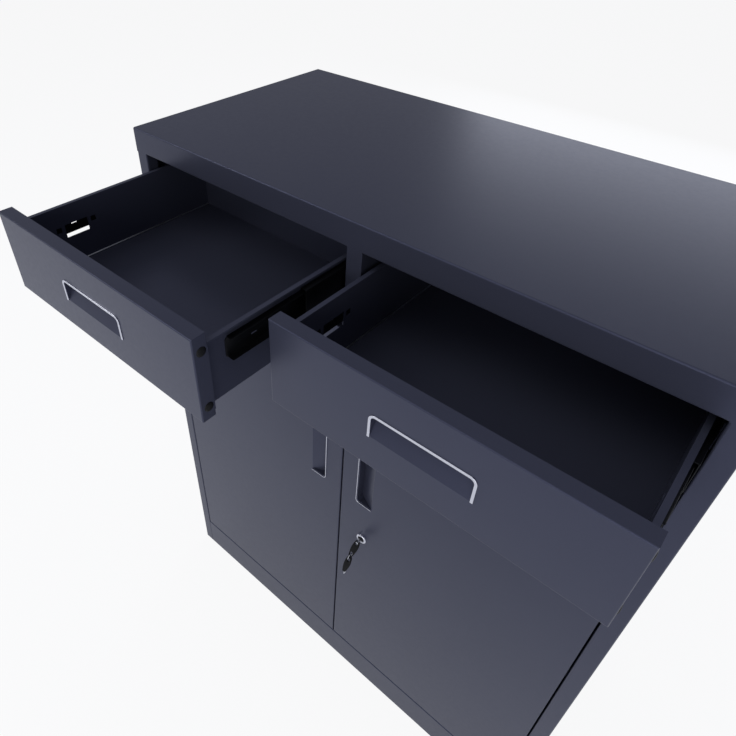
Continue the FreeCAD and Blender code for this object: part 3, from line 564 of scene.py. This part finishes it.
def ball_tree():
    """Round balls on points."""
    tree, given = shape_tree("Bearing balls", "Radius")
    ball = add(tree, "GeometryNodeMeshIcoSphere", {"Radius": given["Radius"], "Subdivisions": 3})
    balls = add(tree, "GeometryNodeInstanceOnPoints", {
        "Points": given["Geometry"], "Instance": ball.outputs[0],
    })
    close_tree(tree, given, balls.outputs[0])
    return tree


def islands(form):
    """The separate lumps of a mesh, each as a set of its points."""
    left = set(form.verts)
    while left:
        lump = set()
        todo = [left.pop()]
        while todo:
            vert = todo.pop()
            lump.add(vert)
            near = {e.other_vert(vert) for e in vert.link_edges} & left
            left -= near
            todo += near
        yield lump


def centre_of(lump):
    """The middle of a lump's box."""
    spans = [(min(v.co[n] for v in lump), max(v.co[n] for v in lump)) for n in range(3)]
    return Vector((low + high) / 2 for low, high in spans)


def span_of(lump):
    """The longest side of a lump's box."""
    return max(max(v.co[n] for v in lump) - min(v.co[n] for v in lump) for n in range(3))


def turned_profile(profile, centre, steps=72):
    """A solid of revolution about the Y axis through a point, from a closed profile of radius and depth."""
    form = bmesh.new()
    rings = []
    for step in range(steps):
        angle = 2 * math.pi * step / steps
        rings.append([
            form.verts.new((centre.x + r * math.cos(angle), y, centre.z + r * math.sin(angle)))
            for r, y in profile
        ])
    count = len(profile)
    for ring, after in zip(rings, rings[1:] + rings[:1]):
        for n in range(count):
            m = (n + 1) % count
            form.faces.new((ring[n], ring[m], after[m], after[n]))
    return solid_mesh(form, "turned")


def bridge(form, near, far):
    """A solid between two like outlines."""
    rings = [[form.verts.new(point) for point in outline] for outline in (near, far)]
    form.faces.new(rings[0])
    form.faces.new(rings[1])
    count = len(rings[0])
    for n in range(count):
        m = (n + 1) % count
        form.faces.new((rings[0][n], rings[0][m], rings[1][m], rings[1][n]))


def solid_mesh(form, name):
    """A plain mesh of a closed form, its faces outwards."""
    bmesh.ops.recalc_face_normals(form, faces=form.faces)
    mesh = bpy.data.meshes.new(name)
    form.to_mesh(mesh)
    form.free()
    return smooth(mesh)


def arc(centre, radius, start, end, steps=6):
    """Points of an arc in a flat drawing, by its angles in degrees."""
    angles = [math.radians(start + (end - start) * n / steps) for n in range(steps + 1)]
    return [(centre[0] + radius * math.cos(a), centre[1] + radius * math.sin(a)) for a in angles]


class CABINET_OT_coat_panels(bpy.types.Operator):
    """Give every CAD node the finish of its slot"""

    bl_idname = "cabinet.coat_panels"
    bl_label = "Coat panels"

    def execute(self, context):
        for node, piece in frame["nodes"].items():
            piece.data.materials.clear()
            piece.data.materials.append(finish_for(slot_of[node]))
        return {"FINISHED"}


class CABINET_OT_filled_joints(bpy.types.Operator):
    """Fill the fascia's lower bend flush where the stiles and the partition meet it"""

    bl_idname = "cabinet.filled_joints"
    bl_label = "Filled joints"

    def execute(self, context):
        bend = context.scene.cabinet_sizes.fascia_bend
        front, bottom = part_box("top_panel")[0].yz
        outline = arc((front + bend, bottom + bend), bend, 270, 180) + [(front, bottom)]
        form = bmesh.new()
        for node in ("left_side_panel", "right_side_panel", "centre_partition"):
            low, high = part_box(node)
            bridge(form, *([(x, y, z) for y, z in outline] for x in (low.x, high.x)))
        set_piece("filled_joints", solid_mesh(form, "filled_joints"), "steel", home["top_panel"])
        return {"FINISHED"}


class CABINET_OT_handle_trims(bpy.types.Operator):
    """Bend the bright strips round the finger recesses"""

    bl_idname = "cabinet.handle_trims"
    bl_label = "Handle trims"

    def execute(self, context):
        sizes = context.scene.cabinet_sizes
        tree = trim_tree()
        for name in drawers + doors:
            node = name + "_handle_trim"
            low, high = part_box(node)
            half = sizes.trim_seat - sizes.trim_width / 2
            y = (low.y + high.y) / 2
            if name in drawers:
                left, right, top = low.x + half, high.x - half, high.z - half
                route = [(left, low.z), (left, top), (right, top), (right, low.z)]
            else:
                deep, flush = (low.x + half, high.x) if name == "right_door" else (high.x - half, low.x)
                foot, head = low.z + half, high.z - half
                route = [(flush, head), (deep, head), (deep, foot), (flush, foot)]
            mesh = grown(
                tree, [(x, y, z) for x, z in route], [(n, n + 1) for n in range(len(route) - 1)],
                Width=sizes.trim_width, Rise=high.y - low.y, Corner=sizes.trim_corner, Edge=sizes.trim_edge,
                Finish=finish_for("chrome"),
            )
            set_piece(name + "_bright_strip", smooth(mesh, strip_angle), "chrome", home[node], node)
        return {"FINISHED"}


class CABINET_OT_tray_edges(bpy.types.Operator):
    """Lay the bare sheared edge of each tray's floor along the left wall"""

    bl_idname = "cabinet.tray_edges"
    bl_label = "Tray edges"

    def execute(self, context):
        edge = context.scene.cabinet_sizes.bare_edge
        tree = trim_tree()
        for drawer in drawers:
            node = drawer + "_tray"
            low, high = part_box(node)
            x = low.x + edge / 2
            z = low.z + sheet + edge / 2
            mesh = grown(
                tree, [(x, low.y + edge, z), (x, high.y - edge, z)], [(0, 1)],
                Width=edge, Rise=edge, Corner=0.0, Edge=edge / 2, Finish=finish_for("zinc"),
            )
            set_piece(drawer + "_tray_edge", smooth(mesh, strip_angle), "zinc", home[node])
        return {"FINISHED"}


class CABINET_OT_hole_plugs(bpy.types.Operator):
    """Press the domed plugs into the drawer fronts' side returns"""

    bl_idname = "cabinet.hole_plugs"
    bl_label = "Hole plugs"

    def execute(self, context):
        sizes = context.scene.cabinet_sizes
        tree = plug_tree()
        for drawer in drawers:
            node = drawer + "_plugs"
            form = merged(node)
            low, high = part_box(drawer + "_front")
            points = []
            for lump in islands(form):
                middle = centre_of(lump)
                middle.x = low.x if middle.x < (low.x + high.x) / 2 else high.x
                points.append(middle)
            form.free()
            mesh = grown(
                tree, points, [], Head=sizes.plug_head, Rise=sizes.plug_rise, Stem=sizes.plug_stem,
                Length=sizes.plug_length, Finish=finish_for("black_plastic"),
            )
            set_piece(drawer + "_domed_plugs", smooth(mesh), "black_plastic", home[node], node)
        return {"FINISHED"}


class CABINET_OT_ball_slides(bpy.types.Operator):
    """Roll the slide members' edges and fill their cages with round balls"""

    bl_idname = "cabinet.ball_slides"
    bl_label = "Ball slides"

    def execute(self, context):
        sizes = context.scene.cabinet_sizes
        for node in frame["nodes"]:
            if slot_of[node] == "slide":
                soften_node(node, sizes.rolled_edge)
        tree = ball_tree()
        for drawer in drawers:
            for row in ("outer", "inner"):
                self.fill_cages(drawer, row, tree, sizes)
        return {"FINISHED"}

    def fill_cages(self, drawer, row, tree, sizes):
        """The thin cages as they are, with their edges eased, and round balls in their windows."""
        node = drawer + "_" + row + "_ball_cages"
        form = merged(node)
        points = []
        for lump in list(islands(form)):
            if span_of(lump) < 3 * sizes.ball_radius:
                points.append(centre_of(lump))
                bmesh.ops.delete(form, geom=list(lump), context="VERTS")
        cages = softened(form, sizes.cage_edge)
        set_piece(drawer + "_" + row + "_cages", cages, "balls", home[node], node)
        balls = grown(tree, points, [], Radius=sizes.ball_radius, Finish=finish_for("balls"))
        set_piece(drawer + "_" + row + "_balls", smooth(balls), "balls", home[node])


class CABINET_OT_hardware(bpy.types.Operator):
    """Break the edges of the pivots, bushes, bolt, clips and other small pieces"""

    bl_idname = "cabinet.hardware"
    bl_label = "Small hardware"

    def execute(self, context):
        edge = context.scene.cabinet_sizes.broken_edge
        for node in (
            "door_pivots", "left_door_bushes", "right_door_bushes", "bolt_guide", "door_bolt",
            "shelf_clips", "lock_nut", "lock_cam", "cam_screw",
        ):
            soften_node(node, edge)
        return {"FINISHED"}


class CABINET_OT_cam_lock(bpy.types.Operator):
    """Turn the lock's chromed barrel and ease its plug"""

    bl_idname = "cabinet.cam_lock"
    bl_label = "Cam lock"

    def execute(self, context):
        sizes = context.scene.cabinet_sizes
        low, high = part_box("lock_barrel")
        plug_low, plug_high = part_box("lock_plug")
        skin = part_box("right_door_skin")[0].y
        head = (high.x - low.x) / 2
        bore = (plug_high.x - plug_low.x) / 2 + running_clearance
        # Behind the door the wall is two thirds of the head's
        body = bore + (head - bore) * 2 / 3
        centre = (low + high) / 2
        rim = sizes.lock_rim
        land = head - rim - sizes.lock_land
        floor = low.y + sizes.lock_dish
        profile = [(bore, floor), (land - sizes.lock_dish, floor), (land, low.y)]
        profile += arc((head - rim, low.y + rim), rim, -90, 0)
        profile += [(head, skin), (body, skin), (body, high.y), (bore, high.y)]
        barrel = turned_profile(profile, centre)
        set_piece("lock_barrel_turned", barrel, "chrome", home["lock_barrel"], "lock_barrel")
        plug = softened(merged("lock_plug"), sizes.broken_edge)
        # The plug takes the slides' black zinc as painted shade: its dark face stands for the shadowed
        # keyway across the lock's face.
        set_piece("lock_plug_blackened", plug, "slide", home["lock_plug"], "lock_plug")
        return {"FINISHED"}


class CABINET_OT_keys(bpy.types.Operator):
    """Mould the key bows, cut the spare key's blade and ease the ring"""

    bl_idname = "cabinet.keys"
    bl_label = "Keys"

    def execute(self, context):
        sizes = context.scene.cabinet_sizes
        form = merged("key_bow")
        self.draw_in(form, sizes)
        bow = softened(form, sizes.bow_edge)
        set_piece("key_bow_moulded", bow, "black_plastic", home["key_bow"], "key_bow")
        soften_node("door_key", sizes.broken_edge)
        soften_node("key_ring", sizes.broken_edge)
        self.spare_key(sizes)
        return {"FINISHED"}

    def draw_in(self, bow, sizes):
        """Narrow a bow and its oval hole for the ring; the fork at a heel stays as it is."""
        low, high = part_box("key_ring")
        ring = (low + high) / 2
        for vert in bow.verts:
            aside = vert.co.x - ring.x
            in_fork = abs(aside) < sizes.bow_fork and (vert.co - ring).length > sizes.bow_heel
            if not in_fork:
                vert.co.x = ring.x + aside * sizes.bow_waist

    def spare_key(self, sizes):
        """The folded spare key: its moulded bow, and the cut blade on the back of it."""
        form = merged("spare_key")
        widest = max(form.faces, key=lambda f: f.calc_area())
        out = widest.normal.copy()
        start = widest.calc_center_median()
        down = out.cross(Vector((1, 0, 0)))
        if down.z > 0:
            down.negate()
        back = -sizes.bow_thickness
        deep = [v.co - start for v in form.verts if (v.co - start).dot(out) < back - sizes.broken_edge]
        side = max(p.x for p in deep)
        runs = [p.dot(down) for p in deep]
        levels = (back, min(p.dot(out) for p in deep))
        blade = self.cut_blade(start, out, down, side, min(runs), max(runs), levels, sizes)
        # The bow's front: the faces that look outwards, level with the widest
        fronts = [
            f for f in form.faces
            if f.normal.dot(out) > 0.99 and (f.calc_center_median() - start).dot(out) > -MM
        ]
        bmesh.ops.delete(form, geom=[f for f in form.faces if f not in fronts], context="FACES")
        thick = bmesh.ops.extrude_face_region(form, geom=fronts)["geom"]
        behind = [g for g in thick if isinstance(g, bmesh.types.BMVert)]
        bmesh.ops.translate(form, verts=behind, vec=out * back)
        bmesh.ops.recalc_face_normals(form, faces=form.faces)
        self.draw_in(form, sizes)
        bow = softened(form, sizes.bow_edge)
        set_piece("spare_key_bow", bow, "black_plastic", home["spare_key"], "spare_key")
        set_piece("spare_key_blade", blade, "zinc", home["spare_key"])

    def cut_blade(self, start, out, down, side, top, tip, levels, sizes):
        """A flat blade with cuts along one edge and a blunt point."""
        across = Vector((1, 0, 0))
        steps = 6
        blunt = side / 5
        shoulder = tip - 2 * side
        pitch = (shoulder - top) / steps
        cuts = [(side - (sizes.bitting if n % 2 else 0), top + n * pitch) for n in range(steps + 1)]
        outline = [(-side, top)] + cuts + [(blunt, tip), (-blunt, tip), (-side, shoulder)]
        form = bmesh.new()
        bridge(form, *(
            [start + across * x + down * s + out * level for x, s in outline] for level in levels
        ))
        bmesh.ops.recalc_face_normals(form, faces=form.faces)
        return softened(form, sizes.broken_edge)


class CABINET_OT_stage(bpy.types.Operator):
    """Set the floor, the lamps and the camera"""

    bl_idname = "cabinet.stage"
    bl_label = "Stage"

    def execute(self, context):
        stage = context.scene.cabinet_stage
        context.scene.view_settings.view_transform = "Standard"
        self.lay_floor(context, stage)
        self.light(context, stage)
        self.aim_camera(context, stage)
        return {"FINISHED"}

    def lay_floor(self, context, stage):
        """A wide pale floor that is white to the camera and in gloss, and keeps the shadow."""
        half = stage.floor_side / 2
        mesh = bpy.data.meshes.new("studio_floor")
        corners = [(-half, -half, 0), (half, -half, 0), (half, half, 0), (-half, half, 0)]
        mesh.from_pydata(corners, [], [(0, 1, 2, 3)])
        material, tree = new_material("pale_studio_floor")
        path = add(tree, "ShaderNodeLightPath").outputs
        mirrored = add(tree, "ShaderNodeMath", {
            0: path["Is Glossy Ray"], 1: path["Is Transmission Ray"],
        }, operation="ADD")
        seen = add(tree, "ShaderNodeMath", {
            0: path["Is Camera Ray"], 1: stage.floor_glow,
        }, operation="MULTIPLY")
        own = add(tree, "ShaderNodeMath", {
            0: mirrored.outputs[0], 1: stage.floor_mirror, 2: seen.outputs[0],
        }, operation="MULTIPLY_ADD")
        matt = add(tree, "ShaderNodeBsdfDiffuse", {"Color": (*stage.floor, 1)})
        glow = add(tree, "ShaderNodeEmission", {"Color": (1, 1, 1, 1), "Strength": 1.0})
        mix = add(tree, "ShaderNodeMixShader", {0: own.outputs[0], 1: matt.outputs[0], 2: glow.outputs[0]})
        add(tree, "ShaderNodeOutputMaterial", {"Surface": mix.outputs[0]})
        mesh.materials.append(material)
        floor = bpy.data.objects.new("studio_floor", mesh)
        context.scene.collection.objects.link(floor)
        floor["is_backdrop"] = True

    def light(self, context, stage):
        """Dim studio walls that are white to the camera, and four soft lamps."""
        world = bpy.data.worlds.new("studio")
        world.use_nodes = True
        tree = world.node_tree
        tree.nodes.clear()
        seen = add(tree, "ShaderNodeLightPath").outputs["Is Camera Ray"]
        sky = add(tree, "ShaderNodeBackground", {"Color": (*stage.sky, 1), "Strength": 1.0})
        white = add(tree, "ShaderNodeBackground", {"Color": (1, 1, 1, 1), "Strength": 1.0})
        mix = add(tree, "ShaderNodeMixShader", {0: seen, 1: sky.outputs[0], 2: white.outputs[0]})
        add(tree, "ShaderNodeOutputWorld", {"Surface": mix.outputs[0]})
        context.scene.world = world
        for name, (sides, place, aim) in lamps.items():
            tint = stage.rear_tint if name == "rear" else plain_light
            self.lamp(context, name + "_lamp", getattr(stage, name), tint, sides, place, aim)

    def lamp(self, context, name, watts, tint, sides, place, aim):
        """A soft rectangular lamp that points at a place."""
        place, aim = Vector(place), Vector(aim)
        data = bpy.data.lights.new(name, "AREA")
        data.color = tint
        data.shape = "RECTANGLE"
        data.size, data.size_y = sides
        data.energy = watts
        lamp = bpy.data.objects.new(name, data)
        turn = (aim - place).to_track_quat("-Z", "Y").to_matrix().to_4x4()
        lamp.matrix_world = Matrix.Translation(place) @ turn
        lamp.visible_camera = False
        context.scene.collection.objects.link(lamp)

    def aim_camera(self, context, stage):
        """The photograph's camera: its place, turn and framing."""
        yaw, pitch, roll = stage.yaw, stage.pitch, stage.roll
        ahead = Vector((
            -math.sin(yaw) * math.cos(pitch), math.cos(yaw) * math.cos(pitch), -math.sin(pitch),
        ))
        level = Vector((math.cos(yaw), math.sin(yaw), 0))
        down = ahead.cross(level)
        right = level * math.cos(roll) + down * math.sin(roll)
        below = down * math.cos(roll) - level * math.sin(roll)
        data = bpy.data.cameras.new("camera")
        data.sensor_width = sensor_side
        data.lens = stage.focal / picture_side * sensor_side
        data.shift_x = (picture_side / 2 - stage.centre[0]) / picture_side
        data.shift_y = (stage.centre[1] - picture_side / 2) / picture_side
        data.clip_end = 2 * stage.floor_side
        camera = bpy.data.objects.new("camera", data)
        turn = Matrix((right, -below, -ahead)).transposed().to_4x4()
        camera.matrix_world = Matrix.Translation(Vector(stage.place)) @ turn
        context.scene.collection.objects.link(camera)
        context.scene.camera = camera


operators = (
    CABINET_OT_coat_panels,
    CABINET_OT_filled_joints,
    CABINET_OT_handle_trims,
    CABINET_OT_tray_edges,
    CABINET_OT_hole_plugs,
    CABINET_OT_ball_slides,
    CABINET_OT_hardware,
    CABINET_OT_cam_lock,
    CABINET_OT_keys,
    CABINET_OT_stage,
)
groups = {"cabinet_finish": CabinetFinish, "cabinet_sizes": CabinetSizes, "cabinet_stage": CabinetStage}


class CABINET_PT_panel(bpy.types.Panel):
    """The cabinet's values and steps, in the sidebar"""

    bl_idname = "CABINET_PT_panel"
    bl_label = "Steel storage cabinet"
    bl_space_type = "VIEW_3D"
    bl_region_type = "UI"
    bl_category = "Cabinet"

    def draw(self, context):
        for name, group in groups.items():
            column = self.layout.column(heading=group.__doc__)
            for value in group.__annotations__:
                column.prop(getattr(context.scene, name), value)
        for step in operators:
            self.layout.operator(step.bl_idname)


def register():
    for kind in (*groups.values(), *operators, CABINET_PT_panel):
        bpy.utils.register_class(kind)
    for name, group in groups.items():
        setattr(bpy.types.Scene, name, bpy.props.PointerProperty(type=group))


def unregister():
    for name in groups:
        delattr(bpy.types.Scene, name)
    for kind in reversed((*groups.values(), *operators, CABINET_PT_panel)):
        bpy.utils.unregister_class(kind)


def main():
    """Dress the frame, set the stage and write down both boxes."""
    register()
    bpy.ops.cabinet.coat_panels()
    bpy.ops.cabinet.filled_joints()
    bpy.ops.cabinet.handle_trims()
    bpy.ops.cabinet.tray_edges()
    bpy.ops.cabinet.hole_plugs()
    bpy.ops.cabinet.ball_slides()
    bpy.ops.cabinet.hardware()
    bpy.ops.cabinet.cam_lock()
    bpy.ops.cabinet.keys()
    bpy.ops.cabinet.stage()
    boxes = {"cad": cad_box, "visual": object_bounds()}
    {name: [list(corner) for corner in corners] for name, corners in boxes.items()}


if __name__ == "__main__":
    main()
